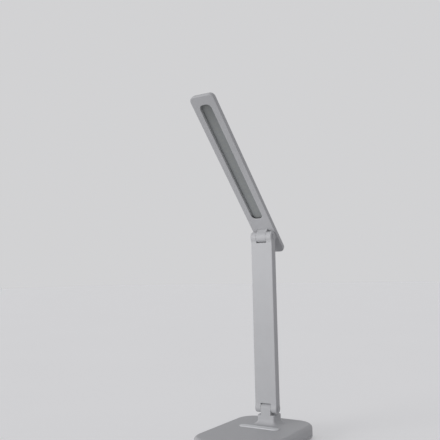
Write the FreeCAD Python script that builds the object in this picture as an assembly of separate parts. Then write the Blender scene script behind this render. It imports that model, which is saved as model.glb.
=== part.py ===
import FreeCAD, Part
import os
from math import cos, pi, sin, sqrt

# Folding LED desk lamp, in millimetres. +Z is up and the front is -Y.
# The origin is on the table, under the middle of the base.

# Base
base_width = 107.6
base_length = 146.5
base_corner = 27.0       # plan radius of the four corners
base_height = 17.5       # table to the flat top
base_edge = 5.0          # rounding of the top edge
base_foot_edge = 2.5     # rounding of the bottom edge
base_wall = 2.2
base_floor = 2.0
base_seam = 5.4          # height of the line between the two base covers
seam_groove = 0.4        # small bevel along each cover's seam edge
pad_thickness = 1.2
pad_inset = 7.0
arm_setback = 38.5       # back of the base to the hinge axis

# Hinges, one at each end of the arm
hinge_rise = 19.6        # base top to the lower hinge axis
hinge_span = 219.5       # lower to upper hinge axis
lower_swell = 1.0        # how far the lower barrels stand out of the arm's faces
upper_swell = 2.2        # the same at the upper hinge
barrel_blend = 8.0       # hollow curve from barrel to arm
tongue_width = 14.0
washer_thickness = 0.25
washer_margin = 0.15     # washer's rim inside the barrel
side_play = 0.1          # washer to tongue
root_gap = 0.5           # tongue's round end to the fork's root
bolt_radius = 2.0
bolt_fit = 0.05          # radial play of the bolt in a tongue
hold_fit = 0.03          # radial play of the bolt in the forks and the nut
bolt_head_radius = 3.2
bolt_head_height = 2.4
cap_radius = 3.5
cap_depth = 1.2          # part of the cap inside its pocket
cap_proud = 0.5
cap_gap = 0.15
cap_edge = 0.4
pedestal_width = 24.5
pedestal_back = 14.0     # hinge axis to the pedestal's back face
pedestal_corner = 2.5
pedestal_flare = 6.0     # hollow curve from the pedestal to the base top
shoulder_gap = 2.0       # fork to the pedestal's shoulders
shoulder_edge = 1.2

# Arm
arm_width = 31.0
arm_thickness = 10.0
arm_edge = 1.2
arm_wall = 1.8
arm_side_wall = 3.0
arm_lid = 2.0
arm_end_block = 7.5      # solid stretch past each fork's root
lid_gap = 0.2
arm_screw_inset = 35.0   # hinge axis to the nearest screws
arm_screw_spread = 16.0  # between the two screws of a pair
arm_boss_radius = 2.6

# Head, drawn level about the upper hinge axis and then tilted
head_angle = 45.6        # rest angle above level
head_width = 33.0
head_thickness = 8.0
head_tip = 11.9          # window's far end to the tip
head_tail = 34.0         # hinge axis to the rear end
head_offset = 7.5        # hinge axis to the underside
head_corner = 6.5
head_edge = 4.5          # rounding of the back's edge
head_lower_edge = 1.2
head_wall = 1.6
head_floor = 2.8         # thickness of the underside, and depth of the window
head_seam = 3.2          # underside to the line between the two head covers
head_lip = 0.6           # bezel's inner lip above the seam
head_lip_wall = 1.0
window_start = 25.4      # hinge axis to the window's near end
window_length = 173.7
window_width = 15.7
window_corner = 6.0
window_edge = 0.5
diffuser_margin = 2.2
diffuser_thickness = 1.2
led_count = 22
led_length = 3.5
led_width = 2.8
led_height = 0.8
led_board_width = 12.0
led_board_thickness = 1.0
led_board_margin = 3.0   # board past each end of the window
flange_width = 24.0
flange_length = 18.0
flange_thickness = 2.0
lug_screw_spread = 18.0
lug_boss_radius = 2.2
neck_gap = 0.3           # lug to its hole in the bezel

# Leads
lead_radius = 0.7
duct_play = 0.2
duct_x = 3.5
duct_y = 3.9             # behind the bolt
lead_end = 3.0           # end of a lead in a tongue, past the hinge axis

# Key and switch
key_length = 56.0
key_width = 11.0
key_ahead = 24.0         # hinge axis to the key
key_gap = 0.3
key_proud = 0.9
key_edge = 0.8
key_rim = 1.5
key_rim_thickness = 1.2
key_travel = 0.8
stem_radius = 2.4
switch_size = 6.0
switch_height = 3.5
switch_edge = 0.4
plunger_radius = 1.6
plunger_play = 0.1
plunger_rise = 1.0       # plunger above the switch body

# Base contents
board_width = 36.0
board_front = 36.0       # hinge axis to the board's front edge
board_thickness = 1.6
board_lift = 1.6         # board above the tray floor
board_back_gap = 0.5
post_radius = 2.5
post_inset = 4.0
base_screw_side = 13.8   # side of the base to the screws
base_screw_back = 20.0   # back of the base to the rear screws
base_screw_front = 24.0  # front of the base to the front screws
boss_radius = 3.2
cup_radius = 4.2
cup_seat = 1.5
ballast_height = 8.0
ballast_gap = 3.0        # ballast to the inside of the walls
ballast_hole_gap = 0.5
ballast_board_gap = 12.8 # ballast to the control board
battery_height = 7.0
battery_corner = 2.0
battery_gap = 4.0        # battery to the board and to the ballast
battery_side_gap = 2.6   # battery to the inside of the side wall
battery_cup_gap = 9.1    # battery to the rear screw cup
socket_width = 9.0
socket_height = 3.2
socket_depth = 8.0
socket_wall = 0.4
socket_sink = 1.0        # socket's mouth behind the base's back face
socket_gap = 0.3
socket_blade = 0.8       # contact blade's thickness
socket_blade_inset = 1.6

# Screws
small_head_radius = 1.7
small_head_height = 1.0
small_shank_radius = 0.9
arm_screw_length = 4.6
board_screw_length = 3.8
lug_screw_length = 2.9
large_head_radius = 2.7
large_head_height = 1.7
large_shank_radius = 1.4
large_length = 7.0
screw_play = 0.1
cross_width = 0.5
cross_reach = 0.6        # share of the head's radius
cross_depth = 0.5        # share of the head's height

# Worked out from the sizes above
vector = FreeCAD.Vector
across = vector(1, 0, 0)
back = vector(0, 1, 0)
up = vector(0, 0, 1)
half_base = base_length / 2
arm_y = half_base - arm_setback
low_z = base_height + hinge_rise
high_z = low_z + hinge_span
half_arm = arm_thickness / 2
low_barrel = half_arm + lower_swell
high_barrel = half_arm + upper_swell
fork_half = tongue_width / 2 + side_play + washer_thickness
low_root = low_barrel + root_gap
high_root = high_barrel + root_gap
cheek_x = arm_width / 2
seat_x = cheek_x - cap_depth - bolt_head_height - side_play
duct_radius = lead_radius + duct_play
shoulder_z = low_z - low_barrel - shoulder_gap
tray_z = pad_thickness + base_floor
ceiling_z = base_height - base_wall
board_z = tray_z + board_lift
board_top = board_z + board_thickness
key_y = arm_y - key_ahead
head_top = head_offset + head_thickness
head_floor_z = head_offset + head_floor
head_seam_z = head_offset + head_seam
head_ceiling = head_top - head_wall
head_reach = window_start + window_length + head_tip
head_length = head_reach + head_tail
head_mid = (head_tail - head_reach) / 2
overlap = 0.5            # how far joined forms sink into each other
past = 1.0               # how far a cut runs past the face it opens
near = 1e-4              # tolerance when edges are picked
base_screw_x = base_width / 2 - base_screw_side
ballast_length = base_length - base_wall - ballast_gap - ballast_board_gap - board_front - arm_setback
battery_width = base_width / 2 - base_wall - battery_side_gap - board_width / 2 - battery_gap
battery_length = (base_length - base_wall - ballast_gap - ballast_length - battery_gap - battery_cup_gap
                  - cup_radius - base_screw_back)


# Plain shapes

def box(x0, x1, y0, y1, z0, z1):
    return Part.makeBox(x1 - x0, y1 - y0, z1 - z0, vector(x0, y0, z0))


def rod_x(radius, x0, x1, y, z):
    return Part.makeCylinder(radius, x1 - x0, vector(x0, y, z), across)


def rod_y(radius, x, y0, y1, z):
    return Part.makeCylinder(radius, y1 - y0, vector(x, y0, z), back)


def rod_z(radius, x, y, z0, z1):
    return Part.makeCylinder(radius, z1 - z0, vector(x, y, z0), up)


def fillet(shape, radius, chosen):
    return shape.makeFillet(radius, [e for e in shape.Edges if chosen(e.BoundBox)])


def bevel(shape, size, chosen):
    return shape.makeChamfer(size, [e for e in shape.Edges if chosen(e.BoundBox)])


def level(z):
    return lambda b: abs(b.ZMin - z) < near and abs(b.ZMax - z) < near


def plate(width, length, corner, z0, z1, x=0.0, y=0.0):
    """A slab with rounded plan corners, centred on x and y."""
    slab = box(x - width / 2, x + width / 2, y - length / 2, y + length / 2, z0, z1)
    return fillet(slab, corner, lambda b: b.ZLength > (z1 - z0) / 2)


def pill(length, width, z0, z1, y):
    """A slab with round ends, long in X."""
    bar = box(-(length - width) / 2, (length - width) / 2, y - width / 2, y + width / 2, z0, z1)
    ends = [rod_z(width / 2, side * (length - width) / 2, y, z0, z1) for side in (-1, 1)]
    return bar.fuse(ends).removeSplitter()


def group(shapes):
    return Part.makeCompound(shapes)


def both_sides(shape):
    return group([shape, shape.mirror(vector(0, 0, 0), across)])


def screw(head_radius, head_height, shank_radius, length, place, direction):
    """A screw whose head's underside is at place and whose shank runs along direction."""
    head = Part.makeCylinder(head_radius, head_height, vector(0, 0, -head_height), up)
    shank = Part.makeCylinder(shank_radius, length, vector(0, 0, 0), up)
    body = head.fuse(shank).removeSplitter()
    reach = head_radius * cross_reach
    top, deep = -head_height, head_height * (cross_depth - 1)
    for size_x, size_y in ((reach, cross_width / 2), (cross_width / 2, reach)):
        body = body.cut(box(-size_x, size_x, -size_y, size_y, top, deep))
    turn = FreeCAD.Rotation(up, direction)
    body.Placement = FreeCAD.Placement(place, turn)
    return body


def small_screw(length, place, direction):
    return screw(small_head_radius, small_head_height, small_shank_radius, length, place, direction)


def save(name, shape):
    os.makedirs("parts", exist_ok=True)
    solids = shape.Solids
    assert solids and shape.isValid(), name
    (solids[0] if len(solids) == 1 else group(solids)).exportStep("parts/" + name + ".step")


# Base

def base_form(inset):
    """The base's whole outside, or the same form drawn in by inset."""
    width, length = base_width - 2 * inset, base_length - 2 * inset
    form = plate(width, length, base_corner - inset, pad_thickness + inset, base_height - inset)
    form = fillet(form, base_edge - inset, level(base_height - inset))
    if inset == 0:
        form = fillet(form, base_foot_edge, level(pad_thickness))
    return form


def above(shape, z):
    b = shape.BoundBox
    return shape.common(box(b.XMin - past, b.XMax + past, b.YMin - past, b.YMax + past, z, b.ZMax + past))


def below(shape, z):
    b = shape.BoundBox
    return shape.common(box(b.XMin - past, b.XMax + past, b.YMin - past, b.YMax + past, b.ZMin - past, z))


def base_screw_places():
    rows = (half_base - base_screw_back, base_screw_front - half_base)
    return [vector(x, y, 0) for y in rows for x in (-base_screw_x, base_screw_x)]


def seam_edges(z):
    """Edges on the outer outline at height z."""
    def chosen(b):
        reach_x = max(abs(b.XMin), abs(b.XMax))
        reach_y = max(abs(b.YMin), abs(b.YMax))
        outer = reach_x > base_width / 2 - near or reach_y > half_base - near
        return level(z)(b) and outer
    return chosen


def tongue(radius, y, z, root):
    """A hinge tongue: round about the axis at y and z, with straight sides to root."""
    half = tongue_width / 2
    column = box(-half, half, y - radius, y + radius, min(z, root), max(z, root))
    return column.fuse(rod_x(radius, -half, half, y, z)).removeSplitter()


def base_top_cover():
    outside = above(base_form(0), base_seam)
    depth = low_barrel + pedestal_back
    y = arm_y + pedestal_back - depth / 2
    pedestal = plate(pedestal_width, depth, pedestal_corner, base_height - overlap, shoulder_z, y=y)
    pedestal = fillet(pedestal, shoulder_edge, level(shoulder_z))
    shape = outside.fuse(pedestal).removeSplitter()
    reach = pedestal_width / 2 + near
    on_pedestal = lambda b: level(base_height)(b) and abs(b.XMax) < reach and abs(b.XMin) < reach
    shape = fillet(shape, pedestal_flare, lambda b: on_pedestal(b) and b.YMin > arm_y - depth)
    shape = bevel(shape, seam_groove, seam_edges(base_seam))
    shape = shape.fuse(tongue(low_barrel, arm_y, low_z, shoulder_z - overlap - shoulder_edge)).removeSplitter()
    hollow = above(base_form(base_wall), base_seam - past)
    shape = shape.cut(hollow)
    bosses = [rod_z(boss_radius, p.x, p.y, tray_z + cup_seat, ceiling_z + overlap) for p in base_screw_places()]
    shape = shape.fuse(bosses)
    pilot = large_shank_radius + screw_play
    holes = [rod_z(pilot, p.x, p.y, tray_z, ceiling_z) for p in base_screw_places()]
    holes.append(pill(key_length, key_width, ceiling_z - past, base_height + past, key_y))
    holes.append(rod_x(bolt_radius + bolt_fit, -tongue_width, tongue_width, arm_y, low_z))
    holes.append(rod_z(duct_radius, duct_x, arm_y + duct_y, ceiling_z - past, low_z + low_barrel))
    holes.append(socket_form(socket_gap, half_base - base_wall - past, half_base + past))
    return shape.cut(group(holes)).removeSplitter()


def base_bottom_cover():
    shape = below(base_form(0), base_seam)
    shape = bevel(shape, seam_groove, seam_edges(base_seam))
    inside = plate(base_width - 2 * base_wall, base_length - 2 * base_wall, base_corner - base_wall,
                   tray_z, base_seam + past)
    shape = shape.cut(inside)
    seat = large_head_height + screw_play
    cups = [rod_z(cup_radius, p.x, p.y, tray_z - overlap, tray_z + cup_seat) for p in base_screw_places()]
    posts = [rod_z(post_radius, p.x, p.y, tray_z - overlap, board_z) for p in post_places()]
    shape = shape.fuse(cups + posts)
    holes = [rod_z(large_shank_radius + screw_play, p.x, p.y, 0, base_seam) for p in base_screw_places()]
    holes += [rod_z(large_head_radius + screw_play, p.x, p.y, 0, pad_thickness + seat)
              for p in base_screw_places()]
    deep = board_top - board_screw_length - screw_play
    holes += [rod_z(small_shank_radius + screw_play, p.x, p.y, deep, board_top) for p in post_places()]
    return shape.cut(group(holes)).removeSplitter()


def base_screws():
    seat_z = pad_thickness + large_head_height + screw_play
    return group([screw(large_head_radius, large_head_height, large_shank_radius, large_length,
                        vector(p.x, p.y, seat_z), up) for p in base_screw_places()])


def non_slip_pad():
    return plate(base_width - 2 * pad_inset, base_length - 2 * pad_inset, base_corner - pad_inset,
                 0, pad_thickness)


def ballast_plate():
    inset = base_wall + ballast_gap
    half = base_width / 2 - inset
    front = inset - half_base
    rear = front + ballast_length
    corner = base_corner - inset
    rear_corner = min(corner, ballast_length - corner - past)
    block = box(-half, half, front, rear, tray_z, tray_z + ballast_height)
    block = fillet(block, corner, lambda b: b.ZLength > near and b.YMax < front + near)
    block = fillet(block, rear_corner, lambda b: b.ZLength > near and b.YMin > rear - near)
    holes = [rod_z(cup_radius + ballast_hole_gap, p.x, p.y, 0, base_height) for p in base_screw_places()]
    return block.cut(group(holes))


def battery_pack():
    x = -board_width / 2 - battery_gap - battery_width / 2
    ballast_back = base_wall + ballast_gap + ballast_length - half_base
    y = ballast_back + battery_gap + battery_length / 2
    pack = plate(battery_width, battery_length, battery_corner, tray_z, tray_z + battery_height, x=x, y=y)
    return fillet(pack, battery_corner / 2, level(tray_z + battery_height))


# Board, switch and key

def board_span():
    return arm_y - board_front, half_base - base_wall - board_back_gap


def post_places():
    front, rear = board_span()
    x = board_width / 2 - post_inset
    return [vector(side * x, y, 0) for y in (front + post_inset, rear - post_inset) for side in (-1, 1)]


def control_board():
    front, rear = board_span()
    board = box(-board_width / 2, board_width / 2, front, rear, board_z, board_top)
    hole = small_shank_radius + screw_play
    return board.cut(group([rod_z(hole, p.x, p.y, 0, base_height) for p in post_places()]))


def board_screws():
    down = vector(0, 0, -1)
    return group([small_screw(board_screw_length, vector(p.x, p.y, board_top), down) for p in post_places()])


def tact_switch():
    half = switch_size / 2
    top = board_top + switch_height
    body = box(-half, half, key_y - half, key_y + half, board_top, top)
    body = bevel(body, switch_edge, level(top))
    well = key_travel + 2 * plunger_play
    return body.cut(rod_z(plunger_radius + plunger_play, 0, key_y, top - plunger_rise - well, top + past))


def plunger_span():
    top = board_top + switch_height
    return top - plunger_rise, top + plunger_rise


def switch_plunger():
    low, high = plunger_span()
    return rod_z(plunger_radius, 0, key_y, low, high)


def switch_key():
    top = base_height + key_proud
    rim_low = ceiling_z - key_rim_thickness
    bar = pill(key_length - 2 * key_gap, key_width - 2 * key_gap, rim_low, top, key_y)
    bar = fillet(bar, key_edge, level(top))
    rim = pill(key_length + 2 * key_rim, key_width + 2 * key_rim, rim_low, ceiling_z, key_y)
    stem = rod_z(stem_radius, 0, key_y, plunger_span()[1], rim_low + overlap)
    return bar.fuse([rim, stem]).removeSplitter()


# Inlet

def socket_form(grow, y0, y1):
    """The inlet's pill-shaped outside, larger by grow all round, between two depths."""
    height = socket_height + 2 * grow
    half = (socket_width - socket_height) / 2
    z = board_top + socket_height / 2
    bar = box(-half, half, y0, y1, z - height / 2, z + height / 2)
    return bar.fuse([rod_y(height / 2, side * half, y0, y1, z) for side in (-1, 1)]).removeSplitter()


def charge_socket():
    mouth = half_base - socket_sink
    shell = socket_form(0, mouth - socket_depth, mouth)
    shell = shell.cut(socket_form(-socket_wall, mouth - socket_depth + socket_wall, mouth + past))
    z = board_top + socket_height / 2
    half = socket_width / 2 - socket_blade_inset
    blade = box(-half, half, mouth - socket_depth, mouth - socket_blade_inset,
                z - socket_blade / 2, z + socket_blade / 2)
    return shell.fuse(blade).removeSplitter()


def base_lead():
    return rod_z(lead_radius, duct_x, arm_y + duct_y, board_top, low_z + lead_end)


# Arm

def arm_outline():
    """The arm's side view: flat faces between two barrels, with hollow blends."""
    reach = half_arm + barrel_blend

    def barrel(end):
        return low_barrel if end < 0 else high_barrel

    def rise(end):
        return sqrt((barrel(end) + barrel_blend) ** 2 - reach ** 2)

    def point(side, end, y, z):
        axis_z = low_z if end < 0 else high_z
        return vector(0, arm_y + side * y, axis_z - end * z)

    def blend(side, end):
        share = barrel(end) / (barrel(end) + barrel_blend)
        on_barrel = point(side, end, reach * share, rise(end) * share)
        on_face = point(side, end, half_arm, rise(end))
        centre = point(side, end, reach, rise(end))
        way = (on_barrel - centre) + (on_face - centre)
        middle = centre + way.normalize() * barrel_blend
        return Part.Arc(on_barrel, middle, on_face).toShape(), on_barrel, on_face

    edges = []
    for end in (-1, 1):
        front, front_barrel, front_face = blend(-1, end)
        rear, rear_barrel, rear_face = blend(1, end)
        tip = point(1, end, 0, -barrel(end))
        edges += [front, rear, Part.Arc(front_barrel, tip, rear_barrel).toShape()]
    for side in (-1, 1):
        low, high = (point(side, end, half_arm, rise(end)) for end in (-1, 1))
        edges.append(Part.LineSegment(low, high).toShape())
    return Part.Face(Part.Wire(Part.__sortEdges__(edges)))


def arm_body():
    outline = arm_outline()
    outline.translate(vector(-cheek_x, 0, 0))
    body = outline.extrude(vector(arm_width, 0, 0))
    return fillet(body, arm_edge, lambda b: b.XLength < near and abs(b.XMin) > cheek_x - near)


def arm_screw_places():
    y = arm_y + half_arm - arm_lid
    rows = (low_z + arm_screw_inset, high_z - arm_screw_inset)
    return [vector(side * arm_screw_spread / 2, y, z) for z in rows for side in (-1, 1)]


def arm_cavity(inset, y0, y1):
    half = cheek_x - arm_side_wall - inset
    low, high = low_z + low_root + arm_end_block, high_z - high_root - arm_end_block
    return box(-half, half, y0, y1, low + inset, high - inset)


def bolt_holes(z):
    pocket = bolt_pocket(z)
    return [rod_x(bolt_radius + hold_fit, -cheek_x, cheek_x, arm_y, z), pocket]


def bolt_pocket(z):
    return both_sides(rod_x(cap_radius + cap_gap, seat_x, cheek_x + past, arm_y, z))


def arm_front_shell():
    shape = arm_body()
    inner = arm_y - half_arm + arm_wall
    cuts = [arm_cavity(0, inner, arm_y + arm_thickness)]
    for z, end, barrel in ((low_z, -1, low_barrel), (high_z, 1, high_barrel)):
        wide = barrel + past
        span = sorted((z + end * wide, z - end * (barrel + root_gap)))
        cuts.append(box(-fork_half, fork_half, arm_y - wide, arm_y + wide, *span))
        cuts += bolt_holes(z)
    shape = shape.cut(group(cuts))
    lid_seat = arm_y + half_arm - arm_lid
    bosses = [rod_y(arm_boss_radius, p.x, inner - overlap, lid_seat, p.z) for p in arm_screw_places()]
    shape = shape.fuse(bosses)
    pilot = small_shank_radius + screw_play
    holes = [rod_y(pilot, p.x, inner, lid_seat + past, p.z) for p in arm_screw_places()]
    holes.append(rod_z(duct_radius, duct_x, arm_y, low_z, high_z))
    return shape.cut(group(holes)).removeSplitter()


def arm_screw_seat():
    return arm_y + half_arm - small_head_height - screw_play


def arm_rear_cover():
    lid = arm_cavity(lid_gap, arm_y + half_arm - arm_lid, arm_y + half_arm)
    lid = bevel(lid, lid_gap, lambda b: b.YMin > arm_y + half_arm - near)
    holes = []
    for p in arm_screw_places():
        holes.append(rod_y(small_shank_radius + screw_play, p.x, arm_y, arm_y + arm_thickness, p.z))
        holes.append(rod_y(small_head_radius + screw_play, p.x, arm_screw_seat(), arm_y + arm_thickness, p.z))
    return lid.cut(group(holes))


def arm_screws():
    forward = vector(0, -1, 0)
    return group([small_screw(arm_screw_length, vector(p.x, arm_screw_seat(), p.z), forward)
                  for p in arm_screw_places()])


def arm_lead():
    return rod_z(lead_radius, duct_x, arm_y, low_z + low_root, high_z - high_root)


# Hinge hardware, on the axis at height z

def hinge_bolt(z):
    shank = rod_x(bolt_radius, -seat_x - bolt_head_height, seat_x + overlap, arm_y, z)
    head = rod_x(bolt_head_radius, seat_x, seat_x + bolt_head_height, arm_y, z)
    slot = box(seat_x + bolt_head_height / 2, cheek_x, arm_y - cross_width, arm_y + cross_width,
               z - bolt_head_radius, z + bolt_head_radius)
    return shank.fuse(head).removeSplitter().cut(slot)


def hinge_nut(z):
    corners = []
    for k in range(7):
        turn = k * pi / 3
        corners.append(vector(-seat_x, arm_y + bolt_head_radius * cos(turn), z + bolt_head_radius * sin(turn)))
    prism = Part.Face(Part.makePolygon(corners)).extrude(vector(-bolt_head_height, 0, 0))
    return prism.cut(rod_x(bolt_radius + hold_fit, -cheek_x, 0, arm_y, z))


def hinge_washers(z):
    barrel = low_barrel if z == low_z else high_barrel
    inner = fork_half - washer_thickness
    ring = rod_x(barrel - washer_margin, inner, fork_half, arm_y, z)
    return both_sides(ring.cut(rod_x(bolt_radius + hold_fit, 0, cheek_x, arm_y, z)))


def hinge_caps(z):
    cap = rod_x(cap_radius, cheek_x - cap_depth, cheek_x + cap_proud, arm_y, z)
    cap = fillet(cap, cap_edge, lambda b: b.XMin > cheek_x + cap_proud - near)
    return both_sides(cap)


# Head, in its own level frame: the hinge axis at the origin, the tip towards -Y

def head_form(inset):
    """The head's whole outside, or the same form drawn in by inset."""
    low, high = head_offset + inset, head_top - inset
    form = plate(head_width - 2 * inset, head_length - 2 * inset, head_corner - inset, low, high, y=head_mid)
    form = fillet(form, head_edge - inset, level(high))
    if inset == 0:
        form = fillet(form, head_lower_edge, level(low))
    return form


def window_form(grow, z0, z1):
    """The window's outline, larger by grow all round."""
    y = -window_start - window_length / 2
    return plate(window_width + 2 * grow, window_length + 2 * grow, window_corner + grow, z0, z1, y=y)


def neck_hole():
    half_x = tongue_width / 2 + neck_gap
    half_y = high_barrel + neck_gap
    return box(-half_x, half_x, -half_y, half_y, head_offset - past, head_floor_z + past)


def head_bezel():
    shape = below(head_form(0), head_seam_z)
    inside = plate(head_width - 2 * head_wall, head_length - 2 * head_wall, head_corner - head_wall,
                   head_floor_z, head_seam_z + past, y=head_mid)
    shape = shape.cut(inside)
    step = head_wall + lid_gap
    outer = plate(head_width - 2 * step, head_length - 2 * step, head_corner - step,
                  head_floor_z - overlap, head_seam_z + head_lip, y=head_mid)
    step += head_lip_wall
    inner = plate(head_width - 2 * step, head_length - 2 * step, head_corner - step,
                  head_floor_z - past, head_seam_z + past, y=head_mid)
    shape = shape.fuse(outer.cut(inner)).removeSplitter()
    window = window_form(0, head_offset - past, head_floor_z + past)
    shape = shape.cut(window)
    y0, y1 = -window_start - window_length - near, -window_start + near
    reach = window_width / 2 + near
    on_window = lambda b: b.YMin > y0 and b.YMax < y1 and b.XMin > -reach and b.XMax < reach
    shape = fillet(shape, window_edge, lambda b: level(head_offset)(b) and on_window(b))
    return shape.cut(neck_hole())


def lug_screw_places():
    return [vector(side * lug_screw_spread / 2, 0, 0) for side in (-1, 1)]


def lug_screw_seat():
    return head_floor_z + small_head_height + screw_play


def head_back_cover():
    shape = above(head_form(0), head_seam_z)
    shape = shape.cut(above(head_form(head_wall), head_seam_z - past))
    flange_top = head_floor_z + flange_thickness
    bosses = [rod_z(lug_boss_radius, p.x, p.y, flange_top, head_ceiling + overlap) for p in lug_screw_places()]
    shape = shape.fuse(bosses)
    pilot = small_shank_radius + screw_play
    deep = lug_screw_seat() + lug_screw_length + screw_play
    return shape.cut(group([rod_z(pilot, p.x, p.y, head_floor_z, deep) for p in lug_screw_places()]))


def diffuser():
    return window_form(diffuser_margin, head_floor_z, head_floor_z + diffuser_thickness)


def led_board():
    y0 = -window_start - window_length - led_board_margin
    y1 = -window_start + led_board_margin
    return box(-led_board_width / 2, led_board_width / 2, y0, y1,
               head_ceiling - led_board_thickness, head_ceiling)


def leds():
    pitch = window_length / led_count
    top = head_ceiling - led_board_thickness
    lamps = []
    for k in range(led_count):
        y = -window_start - (k + 0.5) * pitch
        lamps.append(box(-led_width / 2, led_width / 2, y - led_length / 2, y + led_length / 2,
                         top - led_height, top))
    return group(lamps)


def head_hinge_lug():
    shape = tongue(high_barrel, 0, 0, head_floor_z + overlap)
    flange = box(-flange_width / 2, flange_width / 2, -flange_length / 2, flange_length / 2,
                 head_floor_z, head_floor_z + flange_thickness)
    shape = shape.fuse(flange).removeSplitter()
    holes = [rod_x(bolt_radius + bolt_fit, -tongue_width, tongue_width, 0, 0)]
    holes.append(rod_z(duct_radius, duct_x, duct_y, -high_barrel, head_top))
    for p in lug_screw_places():
        holes.append(rod_z(small_shank_radius + screw_play, p.x, p.y, head_offset, head_top))
        holes.append(rod_z(small_head_radius + screw_play, p.x, p.y, head_offset, lug_screw_seat()))
    return shape.cut(group(holes)).removeSplitter()


def lug_screws():
    return group([small_screw(lug_screw_length, vector(p.x, p.y, lug_screw_seat()), up)
                  for p in lug_screw_places()])


def head_lead():
    """Up the lug's duct, then along to the end of the LED board."""
    z = (head_floor_z + flange_thickness + head_ceiling) / 2
    board_end = led_board_margin - window_start
    rise = rod_z(lead_radius, duct_x, duct_y, -lead_end, z)
    run = rod_y(lead_radius, duct_x, board_end, duct_y, z)
    elbow = Part.makeSphere(lead_radius, vector(duct_x, duct_y, z))
    return rise.fuse([run, elbow]).removeSplitter()


def tilted(shape):
    """A level head piece at its rest angle on the upper hinge."""
    turn = FreeCAD.Rotation(across, -head_angle)
    shape.Placement = FreeCAD.Placement(vector(0, arm_y, high_z), turn).multiply(shape.Placement)
    return shape


fixed_pieces = (base_top_cover, base_bottom_cover, base_screws, non_slip_pad, ballast_plate, battery_pack,
                control_board, board_screws, tact_switch, switch_plunger, switch_key, charge_socket, base_lead,
                arm_front_shell, arm_rear_cover, arm_screws, arm_lead)
hinge_pieces = (hinge_bolt, hinge_nut, hinge_washers, hinge_caps)
head_pieces = (head_bezel, head_back_cover, diffuser, led_board, leds, head_hinge_lug, lug_screws, head_lead)

for make in fixed_pieces:
    save(make.__name__, make())
for make in hinge_pieces:
    save("lower_" + make.__name__, make(low_z))
    save("upper_" + make.__name__, make(high_z))
for make in head_pieces:
    save(make.__name__, tilted(make()))
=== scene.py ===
import math
import bmesh
import bpy
from mathutils import Matrix, Vector


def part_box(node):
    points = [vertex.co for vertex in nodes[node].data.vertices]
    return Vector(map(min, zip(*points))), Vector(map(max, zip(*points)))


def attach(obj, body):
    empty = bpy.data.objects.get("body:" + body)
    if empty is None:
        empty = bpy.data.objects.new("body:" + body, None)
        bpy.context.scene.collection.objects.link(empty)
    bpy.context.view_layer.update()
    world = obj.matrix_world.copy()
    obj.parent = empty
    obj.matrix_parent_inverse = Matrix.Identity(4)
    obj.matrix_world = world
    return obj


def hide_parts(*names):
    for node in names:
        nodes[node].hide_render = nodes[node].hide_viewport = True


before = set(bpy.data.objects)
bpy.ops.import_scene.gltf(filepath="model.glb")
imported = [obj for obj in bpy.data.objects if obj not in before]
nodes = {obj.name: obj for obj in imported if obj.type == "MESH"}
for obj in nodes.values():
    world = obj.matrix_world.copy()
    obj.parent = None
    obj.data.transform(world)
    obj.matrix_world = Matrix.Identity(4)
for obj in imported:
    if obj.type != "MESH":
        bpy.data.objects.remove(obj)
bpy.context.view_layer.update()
scene = bpy.context.scene
scene.view_settings.view_transform = "Standard"
mm = 0.001
headTilt = 45.6            # degrees, the head's angle at rest
sharpAngle = 1.0           # radians, an edge that turns more is a corner
noiseRange = (0.3, 0.7)    # where most values of a noise lie
print("frame loaded:", len(nodes), "nodes")


def addObject(name, data):
    made = bpy.data.objects.new(name, data)
    scene.collection.objects.link(made)
    return made


def middle(name):
    lo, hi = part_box(name)
    return (lo + hi) / 2


# camera: to the right of the lamp's front, and low down

cameraSet = {
    "azimuth": 32.313,     # degrees round from the front, towards the right
    "elevation": -5.13,    # degrees, looks up a little
    "roll": -1.224,        # degrees
    "distance": 817.3,     # mm from the aim point
    "aimRight": -55.98,    # mm beside the hinge axes, across the view
    "aimHeight": 280.53,   # mm above the table
    "lens": 50.677,        # mm
    "sensor": 36.0,        # mm
    "nearest": 0.01,       # m
    "farthest": 50.0,      # m
}


def placeCamera(s):
    azimuth, elevation, roll = (math.radians(s[k]) for k in ("azimuth", "elevation", "roll"))
    reach = math.cos(elevation)
    back = Vector((math.sin(azimuth) * reach, -math.cos(azimuth) * reach, math.sin(elevation)))
    right = Vector((math.cos(azimuth), math.sin(azimuth), 0))
    up = back.cross(right)
    turnedRight = right * math.cos(roll) + up * math.sin(roll)
    turnedUp = up * math.cos(roll) - right * math.sin(roll)
    aim = Vector((0, middle("lower_hinge_washers").y, 0)) + right * s["aimRight"] * mm
    aim.z = s["aimHeight"] * mm
    data = bpy.data.cameras.new("photoCamera")
    data.lens = s["lens"]
    data.sensor_width = s["sensor"]
    data.clip_start = s["nearest"]
    data.clip_end = s["farthest"]
    camera = addObject("photoCamera", data)
    turn = Matrix((turnedRight, turnedUp, back)).transposed().to_4x4()
    camera.matrix_world = Matrix.Translation(aim + back * s["distance"] * mm) @ turn
    scene.camera = camera


placeCamera(cameraSet)
print("camera placed")


# shader helpers

def newMaterial(name):
    mat = bpy.data.materials.new(name)
    mat.use_nodes = True
    tree = mat.node_tree
    return mat, tree, tree.nodes["Principled BSDF"]


def addNode(tree, kind, **values):
    node = tree.nodes.new(kind)
    for key, value in values.items():
        setattr(node, key, value)
    return node


# a socket is linked, and anything else is set
def feed(tree, node, values):
    for name, value in values.items():
        if isinstance(value, bpy.types.NodeSocket):
            tree.links.new(value, node.inputs[name])
        else:
            node.inputs[name].default_value = value


def objectPoint(tree, scale=(1, 1, 1), turn=(0, 0, 0), place=(0, 0, 0)):
    coords = addNode(tree, "ShaderNodeTexCoord")
    mapping = addNode(tree, "ShaderNodeMapping")
    angles = [math.radians(v) for v in turn]
    feed(tree, mapping, {
        "Vector": coords.outputs["Object"],
        "Location": place,
        "Rotation": angles,
        "Scale": scale,
    })
    return mapping.outputs["Vector"]


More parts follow.
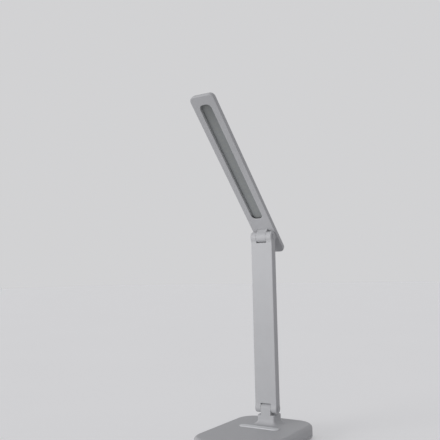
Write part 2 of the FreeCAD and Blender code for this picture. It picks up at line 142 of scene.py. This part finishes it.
def noise(tree, point, scale, detail=3.0, rough=0.5):
    node = addNode(tree, "ShaderNodeTexNoise")
    feed(tree, node, {"Vector": point, "Scale": scale, "Detail": detail, "Roughness": rough})
    return node.outputs["Fac"]


def maths(tree, operation, *values):
    node = addNode(tree, "ShaderNodeMath", operation=operation)
    for socket, value in zip(node.inputs, values):
        if isinstance(value, bpy.types.NodeSocket):
            tree.links.new(value, socket)
        else:
            socket.default_value = value
    return node.outputs["Value"]


def spread(tree, value, low, high, source=noiseRange):
    node = addNode(tree, "ShaderNodeMapRange")
    feed(tree, node, {
        "Value": value,
        "From Min": source[0],
        "From Max": source[1],
        "To Min": low,
        "To Max": high,
    })
    return node.outputs["Result"]


def roughness(tree, cloud, s):
    return spread(tree, cloud, s["rough"] - s["roughSpread"], s["rough"] + s["roughSpread"])


def shade(colour, factor):
    return tuple(min(1.0, c * factor) for c in colour)


def cloudTint(tree, cloud, colour, low, high):
    node = addNode(tree, "ShaderNodeValToRGB")
    for element, place, factor in zip(node.color_ramp.elements, noiseRange, (low, high)):
        element.position = place
        element.color = (*shade(colour, factor), 1)
    feed(tree, node, {"Fac": cloud})
    return node.outputs["Color"]


def scaled(tree, colour, factor):
    node = addNode(tree, "ShaderNodeVectorMath", operation="SCALE")
    feed(tree, node, {"Vector": colour, "Scale": factor})
    return node.outputs["Vector"]


def mixed(tree, colour, second, share):
    node = addNode(tree, "ShaderNodeMix", data_type="RGBA")
    sockets = {(socket.name, socket.type): socket for socket in node.inputs}
    tree.links.new(share, sockets["Factor", "VALUE"])
    tree.links.new(colour, sockets["A", "RGBA"])
    sockets["B", "RGBA"].default_value = (*second, 1)
    return next(socket for socket in node.outputs if socket.type == "RGBA")


def softEdge(tree, radius):
    node = addNode(tree, "ShaderNodeBevel", samples=4)
    feed(tree, node, {"Radius": radius})
    return node.outputs["Normal"]


def bump(tree, height, distance, under=None):
    node = addNode(tree, "ShaderNodeBump")
    feed(tree, node, {"Height": height, "Distance": distance})
    if under is not None:
        feed(tree, node, {"Normal": under})
    return node.outputs["Normal"]


def dress(material, *names):
    for name in names:
        slots = nodes[name].data.materials
        if not len(slots):
            slots.append(material)
        for k in range(len(slots)):
            slots[k] = material


# mesh helpers

def meshObject(bm, name, material):
    mesh = bpy.data.meshes.new(name)
    bm.to_mesh(mesh)
    bm.free()
    mesh.materials.append(material)
    return addObject(name, mesh)


def addPiece(bm, name, material, body):
    piece = meshObject(bm, name, material)
    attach(piece, body)
    return piece


# level sheet from corner lo to corner hi, at height z
def roundedSheet(lo, hi, z, s):
    bm = bmesh.new()
    bmesh.ops.create_grid(bm, x_segments=1, y_segments=1, size=0.5)
    bmesh.ops.scale(bm, vec=(hi.x - lo.x, hi.y - lo.y, 1), verts=bm.verts)
    bmesh.ops.translate(bm, vec=((lo.x + hi.x) / 2, (lo.y + hi.y) / 2, z), verts=bm.verts)
    bmesh.ops.bevel(bm, geom=bm.verts[:], affect="VERTICES", offset=s["corner"] * mm,
                    segments=s["cornerSteps"], profile=0.5, material=-1)
    return bm


def drawDown(bm, depth):
    made = bmesh.ops.extrude_face_region(bm, geom=bm.faces[:])
    low = [v for v in made["geom"] if isinstance(v, bmesh.types.BMVert)]
    bmesh.ops.translate(bm, vec=(0, 0, -depth), verts=low)
    bmesh.ops.recalc_face_normals(bm, faces=bm.faces[:])
    return low


def easeRim(bm, verts, width, steps):
    rim = set(verts)
    edges = [e for e in bm.edges if rim.issuperset(e.verts) and e.calc_face_angle(0) > sharpAngle]
    bmesh.ops.bevel(bm, geom=edges, affect="EDGES", offset=width, segments=steps, profile=0.5, material=-1)


# each item once, in a steady order
def once(items):
    return list(dict.fromkeys(items))


# moulded plastics: a cloudy tint, spark-eroded grain and slightly eased edges

shellSet = {
    "colour": (0.522, 0.525, 0.54),
    "cloud": 0.025,        # share of the colour that the clouds add or take
    "cloudScale": 45.0,
    "cloudDetail": 4.0,
    "grainScale": 2600.0,
    "grainDetail": 2.0,
    "grainRough": 0.6,
    "grainDepth": 0.015,   # mm
    "rough": 0.52,
    "roughSpread": 0.04,
    "gloss": 0.25,
    "edge": 0.3,           # mm
}
keySet = {**shellSet, "colour": (0.77, 0.78, 0.80), "rough": 0.42}
capSet = {**shellSet, "colour": (0.46, 0.463, 0.48), "rough": 0.4}
washerSet = {**shellSet, "colour": (0.46, 0.463, 0.475), "rough": 0.4, "edge": 0.1}
switchSet = {**shellSet, "colour": (0.03, 0.03, 0.032), "edge": 0.1}
leadSet = {**shellSet, "colour": (0.62, 0.62, 0.6), "rough": 0.5, "edge": 0.05}
lensSet = {**shellSet, "colour": (0.75, 0.62, 0.2), "rough": 0.25, "edge": 0.1}


def mouldedPlastic(name, s):
    mat, tree, shader = newMaterial(name)
    point = objectPoint(tree)
    cloud = noise(tree, point, s["cloudScale"], s["cloudDetail"])
    grain = noise(tree, point, s["grainScale"], s["grainDetail"], s["grainRough"])
    feed(tree, shader, {
        "Base Color": cloudTint(tree, cloud, s["colour"], 1 - s["cloud"], 1 + s["cloud"]),
        "Roughness": roughness(tree, cloud, s),
        "Normal": bump(tree, grain, s["grainDepth"] * mm, softEdge(tree, s["edge"] * mm)),
        "Specular IOR Level": s["gloss"],
    })
    return mat


dress(mouldedPlastic("satinShell", shellSet), "base_top_cover", "base_bottom_cover", "arm_front_shell",
      "arm_rear_cover", "head_back_cover", "head_bezel", "head_hinge_lug")
dress(mouldedPlastic("keyPlastic", keySet), "switch_key")
dress(mouldedPlastic("capPlastic", capSet), "lower_hinge_caps", "upper_hinge_caps")
dress(mouldedPlastic("washerPlastic", washerSet), "lower_hinge_washers", "upper_hinge_washers")
dress(mouldedPlastic("switchPlastic", switchSet), "tact_switch", "switch_plunger")
dress(mouldedPlastic("leadSleeve", leadSet), "base_lead", "arm_lead", "head_lead")
dress(mouldedPlastic("lampLens", lensSet), "leds")
print("plastics dressed")

# diffuser: frosted strip with fine ribs along it, the row of lamps faint behind, and painted shade towards
# the tip

diffuserSet = {
    "colour": (0.275, 0.288, 0.29),
    "cloud": 0.03,         # share of the colour that the clouds add or take
    "cloudScale": 60.0,
    "lampTint": (0.295, 0.305, 0.295),
    "lamps": 22,
    "lampLength": 3.5,     # mm
    "lampSpot": 3.4,       # mm, how far the painted tip shade reaches
    "tipPaintedShade": 0.7,         # painted shade: share of the colour left at the tip end, where the window's tip wall shades the strip
    "tipShadeLength": 34.0,     # mm
    "ribPitch": 0.8,       # mm
    "ribDepth": 0.01,      # mm
    "rough": 0.34,
    "roughSpread": 0.03,
}


# the head's hinge axis, and the turn that lays the head level
def levelHead():
    return middle("upper_hinge_washers"), Matrix.Rotation(math.radians(headTilt), 3, "X")


# places on the level head: the point, then crosswise, then lengthwise, which falls towards the tip
def headPlaces(tree):
    axis, level = levelHead()
    point = objectPoint(tree, turn=(headTilt, 0, 0), place=-(level @ axis))
    split = addNode(tree, "ShaderNodeSeparateXYZ")
    feed(tree, split, {"Vector": point})
    return point, split.outputs["X"], split.outputs["Y"]


# distance from the nearest lamp of a row that runs from near to far
def lampReach(tree, crosswise, lengthwise, near, far, s):
    pitch = (near - far - s["lampLength"] * mm) / (s["lamps"] - 1)
    start = near - s["lampLength"] / 2 * mm + pitch / 2
    steps = maths(tree, "DIVIDE", maths(tree, "SUBTRACT", lengthwise, start), pitch)
    along = maths(tree, "MULTIPLY", maths(tree, "SUBTRACT", maths(tree, "FRACT", steps), 0.5), pitch)
    squares = [maths(tree, "POWER", way, 2.0) for way in (along, crosswise)]
    return maths(tree, "SQRT", maths(tree, "ADD", *squares))


def frostedStrip(name, s):
    mat, tree, shader = newMaterial(name)
    axis, level = levelHead()
    row = [(level @ (v.co - axis)).y for v in nodes["leds"].data.vertices]
    near, far = max(row), min(row)
    point, crosswise, lengthwise = headPlaces(tree)
    cloud = noise(tree, point, s["cloudScale"])
    tint = cloudTint(tree, cloud, s["colour"], 1 - s["cloud"], 1 + s["cloud"])
    reach = lampReach(tree, crosswise, lengthwise, near, far, s)
    spot = spread(tree, reach, 1.0, 0.0, (0.0, s["lampSpot"] * mm))
    # painted shade: the strip darkens towards the tip, standing in for the shadow of the window's tip wall
    paintedShade = spread(tree, lengthwise, s["tipPaintedShade"], 1.0, (far, far + s["tipShadeLength"] * mm))
    ribs = maths(tree, "SINE", maths(tree, "MULTIPLY", crosswise, 2 * math.pi / (s["ribPitch"] * mm)))
    feed(tree, shader, {
        "Base Color": scaled(tree, mixed(tree, tint, s["lampTint"], spot), paintedShade),
        "Roughness": roughness(tree, cloud, s),
        "Normal": bump(tree, ribs, s["ribDepth"] * mm),
    })
    return mat


dress(frostedStrip("frostedStrip", diffuserSet), "diffuser")
print("diffuser dressed")

# lining of the window's wall, down to the diffuser, with painted shade at its hinge end

liningSet = {
    "margin": 2.2,         # mm, diffuser past the window all round
    "gap": 0.03,           # mm
    "corner": 6.0,         # mm
    "cornerSteps": 10,
    "depth": 2.15,         # mm
    "wall": 0.3,           # mm
    "lip": 0.075,          # mm
    "lipSteps": 2,
    "colour": (0.51, 0.517, 0.525),
    "rough": 0.6,
    "edge": 0.05,          # mm
    "paintedEndShade": 0.22,        # painted shade: share of the colour left at the hinge end, where the recess sits in shade
    "endShadeLength": 7.0,      # mm, how far the painted end shade reaches
}


def liningPlastic(name, end, s):
    mat = mouldedPlastic(name, {**shellSet, "colour": s["colour"], "rough": s["rough"], "edge": s["edge"]})
    tree = mat.node_tree
    shader = tree.nodes["Principled BSDF"]
    tint = shader.inputs["Base Color"].links[0].from_socket
    lengthwise = headPlaces(tree)[2]
    fade = (end - s["endShadeLength"] * mm, end - s["endShadeLength"] / 2 * mm)
    # painted shade: the lining darkens towards the hinge end, standing in for the shade in the recess
    # there
    paintedShade = spread(tree, lengthwise, 1.0, s["paintedEndShade"], fade)
    feed(tree, shader, {"Base Color": scaled(tree, tint, paintedShade)})
    return mat


def windowLining(s):
    axis, level = levelHead()
    flat = [level @ (v.co - axis) for v in nodes["diffuser"].data.vertices]
    lo = Vector([min(v[k] for v in flat) for k in range(3)])
    hi = Vector([max(v[k] for v in flat) for k in range(3)])
    trim = Vector((1, 1, 0)) * (s["margin"] + s["gap"]) * mm
    bm = roundedSheet(lo + trim, hi - trim, lo.z, s)
    inside = bm.faces[:]
    bmesh.ops.inset_region(bm, faces=inside, thickness=s["wall"] * mm, use_even_offset=True,
                           use_boundary=True)
    bmesh.ops.delete(bm, geom=inside, context="FACES_ONLY")
    low = drawDown(bm, s["depth"] * mm)
    easeRim(bm, low, s["lip"] * mm, s["lipSteps"])
    bmesh.ops.transform(bm, matrix=Matrix.Translation(axis) @ level.inverted().to_4x4(), verts=bm.verts)
    plastic = liningPlastic("liningPlastic", hi.y - s["margin"] * mm, s)
    addPiece(bm, "windowLining", plastic, "head")


windowLining(liningSet)
print("window lining made")

# metals and foil, with fine marks

metalSet = {
    "colour": (0.56, 0.56, 0.57),
    "tint": (0.88, 1.06),  # darkest and palest marks, as shares of the colour
    "stretch": (1, 1, 1),
    "markScale": 1800.0,
    "markDetail": 4.0,
    "markRough": 0.6,
    "depth": 0.01,         # mm
    "rough": 0.32,
    "roughSpread": 0.06,
    "edge": 0.08,          # mm
}
hingeSet = {**metalSet, "stretch": (0.1, 1, 1)}
socketSet = {**metalSet, "stretch": (1, 0.15, 1), "rough": 0.28}
ballastSet = {**metalSet, "colour": (0.30, 0.29, 0.28), "markScale": 300.0, "rough": 0.5}
cellSet = {**metalSet, "colour": (0.5, 0.52, 0.56), "markScale": 120.0, "rough": 0.42, "depth": 0.15}


def markedMetal(name, s):
    mat, tree, shader = newMaterial(name)
    point = objectPoint(tree, scale=s["stretch"])
    marks = noise(tree, point, s["markScale"], s["markDetail"], s["markRough"])
    feed(tree, shader, {
        "Base Color": cloudTint(tree, marks, s["colour"], *s["tint"]),
        "Roughness": roughness(tree, marks, s),
        "Normal": bump(tree, marks, s["depth"] * mm, softEdge(tree, s["edge"] * mm)),
        "Metallic": 1.0,
    })
    return mat


dress(markedMetal("screwSteel", metalSet), "arm_screws", "base_screws", "board_screws", "lug_screws")
dress(markedMetal("hingeSteel", hingeSet), "lower_hinge_bolt", "lower_hinge_nut", "upper_hinge_bolt",
      "upper_hinge_nut")
dress(markedMetal("socketSteel", socketSet), "charge_socket")
dress(markedMetal("ballastSteel", ballastSet), "ballast_plate")
dress(markedMetal("cellWrap", cellSet), "battery_pack")
print("metals dressed")

# boards: lacquer over fine copper runs

boardSet = {
    "colour": (0.02, 0.12, 0.06),
    "secondShade": 0.9,    # share of the colour on every other field
    "runs": (0.05, 0.22, 0.11),
    "runScale": 140.0,
    "runWidth": 0.03,      # share of a field
    "runHeight": 0.03,     # mm
    "rowShift": 0.5,       # share of a field
    "cloudScale": 400.0,
    "rough": 0.30,
    "roughSpread": 0.04,
    "turn": (0, 0, 0),     # degrees
}
lampBoardSet = {
    **boardSet,
    "colour": (0.72, 0.72, 0.70),
    "runs": (0.62, 0.62, 0.6),
    "turn": (headTilt, 0, 0),
}


def lacqueredBoard(name, s):
    mat, tree, shader = newMaterial(name)
    point = objectPoint(tree, turn=s["turn"])
    fields = addNode(tree, "ShaderNodeTexBrick", offset=s["rowShift"])
    feed(tree, fields, {
        "Vector": point,
        "Color1": (*s["colour"], 1),
        "Color2": (*shade(s["colour"], s["secondShade"]), 1),
        "Mortar": (*s["runs"], 1),
        "Scale": s["runScale"],
        "Mortar Size": s["runWidth"],
    })
    feed(tree, shader, {
        "Base Color": fields.outputs["Color"],
        "Roughness": roughness(tree, noise(tree, point, s["cloudScale"]), s),
        "Normal": bump(tree, fields.outputs["Fac"], s["runHeight"] * mm),
    })
    return mat


dress(lacqueredBoard("boardLaminate", boardSet), "control_board")
dress(lacqueredBoard("lampBoard", lampBoardSet), "led_board")
print("boards dressed")

# rubber pad under the base: plain border, then blocks parted by shallow grooves

padSet = {
    "corner": 20.0,        # mm
    "cornerSteps": 12,
    "edge": 0.35,          # mm
    "edgeSteps": 3,
    "border": 5.0,         # mm
    "pitch": 8.0,          # mm
    "groove": 0.9,         # mm
    "grooveDepth": 0.4,    # mm
    "cutSnap": 0.0001,     # mm, a corner this near to a cut is on it
    "colour": (0.055, 0.056, 0.06),
    "tint": (0.85, 1.2),   # darkest and palest clouds, as shares of the colour
    "cloudScale": 90.0,
    "cloudDetail": 4.0,
    "cloudRough": 0.6,
    "grainScale": 1500.0,
    "grainDetail": 2.0,
    "grainDepth": 0.03,    # mm
    "rough": 0.79,
    "roughSpread": 0.07,
    "gloss": 0.3,
}


def rubber(name, s):
    mat, tree, shader = newMaterial(name)
    point = objectPoint(tree)
    cloud = noise(tree, point, s["cloudScale"], s["cloudDetail"], s["cloudRough"])
    grain = noise(tree, point, s["grainScale"], s["grainDetail"])
    feed(tree, shader, {
        "Base Color": cloudTint(tree, cloud, s["colour"], *s["tint"]),
        "Roughness": roughness(tree, cloud, s),
        "Normal": bump(tree, grain, s["grainDepth"] * mm),
        "Specular IOR Level": s["gloss"],
    })
    return mat


# cuts the faces across X and Y into blocks, with the middle cut on the pad's middle
def cutBlocks(bm, faces, centre, half, s):
    pitch = s["pitch"] * mm
    for way in (Vector((1, 0, 0)), Vector((0, 1, 0))):
        count = int(half.dot(way) / pitch)
        for k in range(-count, count + 1):
            edges = once(e for f in faces for e in f.edges)
            corners = once(v for f in faces for v in f.verts)
            made = bmesh.ops.bisect_plane(bm, geom=faces + edges + corners, dist=s["cutSnap"] * mm,
                                          plane_co=centre + way * k * pitch, plane_no=way)
            faces = [f for f in made["geom"] if isinstance(f, bmesh.types.BMFace)]
    return faces


def gripPad(s):
    lo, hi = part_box("non_slip_pad")
    bm = roundedSheet(lo, hi, hi.z, s)
    low = drawDown(bm, hi.z - lo.z)
    easeRim(bm, low, s["edge"] * mm, s["edgeSteps"])
    sole = min(bm.faces, key=lambda f: f.calc_center_median().z)
    bmesh.ops.inset_region(bm, faces=[sole], thickness=s["border"] * mm, use_even_offset=True)
    blocks = cutBlocks(bm, [sole], (lo + hi) / 2, (hi - lo) / 2, s)
    seams = once(v for f in blocks for v in f.verts)
    bmesh.ops.inset_individual(bm, faces=blocks, thickness=s["groove"] / 2 * mm, use_even_offset=True)
    bmesh.ops.translate(bm, vec=(0, 0, s["grooveDepth"] * mm), verts=seams)
    piece = addPiece(bm, "gripPad", rubber("padRubber", s), "base")
    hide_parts("non_slip_pad")


gripPad(padSet)
print("pad made")

# gilt contacts on the inlet's blade

contactSet = {
    "count": 12,
    "pitch": 0.42,         # mm
    "width": 0.24,         # mm
    "length": 4.2,         # mm
    "thickness": 0.06,     # mm
    "sink": 0.02,          # mm into the blade
    "fromMouth": 1.9,      # mm
    "blade": 0.8,          # mm thick
    "edge": 0.015,         # mm
    "edgeSteps": 2,
    "colour": (0.78, 0.57, 0.22),
    "rough": 0.25,
}


def inletContacts(s):
    lo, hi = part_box("charge_socket")
    size = Vector((s["width"], s["length"], s["thickness"])) * mm
    y = hi.y - (s["fromMouth"] + s["length"] / 2) * mm
    height = (s["blade"] / 2 + s["thickness"] / 2 - s["sink"]) * mm
    bm = bmesh.new()
    for side in (-1, 1):
        z = (lo.z + hi.z) / 2 + side * height
        for k in range(s["count"]):
            strip = bmesh.ops.create_cube(bm, size=1)["verts"]
            x = (k - (s["count"] - 1) / 2) * s["pitch"] * mm
            bmesh.ops.scale(bm, vec=size, verts=strip)
            bmesh.ops.translate(bm, vec=(x, y, z), verts=strip)
            edges = once(e for v in strip for e in v.link_edges)
            bmesh.ops.bevel(bm, geom=edges, affect="EDGES", offset=s["edge"] * mm, segments=s["edgeSteps"],
                            profile=0.5, material=-1)
    gilt = markedMetal("giltContact", {**metalSet, "colour": s["colour"], "rough": s["rough"]})
    addPiece(bm, "inletContacts", gilt, "base")


inletContacts(contactSet)
print("inlet contacts made")

# floor and surroundings, a little paler to the eye than the light they give

stageSet = {
    "floorHalf": 12.0,     # m
    "below": 0.2,          # mm, keeps the floor off the pad's faces
    "colour": (0.76, 0.76, 0.765),
    "cloud": 0.01,         # share of the colour that the clouds add or take
    "cloudScale": 3.0,
    "cloudDetail": 2.0,
    "rough": 0.9,
    "gloss": 0.1,
    "lift": (0.238, 0.238, 0.243),
    "seen": (0.644, 0.644, 0.654),
    "light": (0.45, 0.45, 0.46),
}


def seenRays(tree):
    path = addNode(tree, "ShaderNodeLightPath")
    shown = maths(tree, "MAXIMUM", path.outputs["Is Camera Ray"], path.outputs["Is Glossy Ray"])
    return maths(tree, "MAXIMUM", shown, path.outputs["Is Transmission Ray"])


def paleFloor(s):
    mat, tree, shader = newMaterial("paleFloor")
    cloud = noise(tree, objectPoint(tree), s["cloudScale"], s["cloudDetail"])
    feed(tree, shader, {
        "Base Color": cloudTint(tree, cloud, s["colour"], 1 - s["cloud"], 1 + s["cloud"]),
        "Roughness": s["rough"],
        "Specular IOR Level": s["gloss"],
        "Emission Color": (*s["lift"], 1),
        "Emission Strength": seenRays(tree),
    })
    bm = bmesh.new()
    bmesh.ops.create_grid(bm, x_segments=1, y_segments=1, size=s["floorHalf"])
    bmesh.ops.translate(bm, vec=(0, 0, -s["below"] * mm), verts=bm.verts)
    floor = meshObject(bm, "paleFloor", mat)


def paleWorld(s):
    world = bpy.data.worlds.new("paleWorld")
    world.use_nodes = True
    tree = world.node_tree
    light = tree.nodes["Background"]
    feed(tree, light, {"Color": (*s["light"], 1)})
    seen = addNode(tree, "ShaderNodeBackground")
    feed(tree, seen, {"Color": (*s["seen"], 1)})
    mix = addNode(tree, "ShaderNodeMixShader")
    feed(tree, mix, {"Fac": seenRays(tree)})
    for socket, background in zip(mix.inputs[1:], (light, seen)):
        tree.links.new(background.outputs["Background"], socket)
    feed(tree, tree.nodes["World Output"], {"Surface": mix.outputs["Shader"]})
    scene.world = world


paleFloor(stageSet)
paleWorld(stageSet)

# soft lamps: a broad one low in front and to the left, and a narrow one on the upper hinge

sunSet = {
    "from": (-0.52, -0.85, 0.04),
    "aim": (0, 0, 0),
    "spread": 38.0,        # degrees
    "strength": 2.2,       # W per square metre
}
glowSet = {
    "from": (-0.46, -0.73, 0.30),
    "aim": (0, 0.035, 0.255),
    "cone": 18.0,          # degrees
    "blend": 1.0,
    "softness": 0.08,      # m
    "strength": 4.0,       # W
}


def addLamp(name, kind, s):
    data = bpy.data.lights.new(name, kind)
    data.energy = s["strength"]
    lamp = addObject(name, data)
    lamp.location = s["from"]
    lamp.rotation_euler = (Vector(s["from"]) - Vector(s["aim"])).to_track_quat("Z", "Y").to_euler()
    return data


def frontLeft(s):
    data = addLamp("frontLeft", "SUN", s)
    data.angle = math.radians(s["spread"])


def hingeGlow(s):
    data = addLamp("hingeGlow", "SPOT", s)
    data.spot_size = math.radians(s["cone"])
    data.spot_blend = s["blend"]
    data.shadow_soft_size = s["softness"]


frontLeft(sunSet)
hingeGlow(glowSet)
print("stage and lamps set")
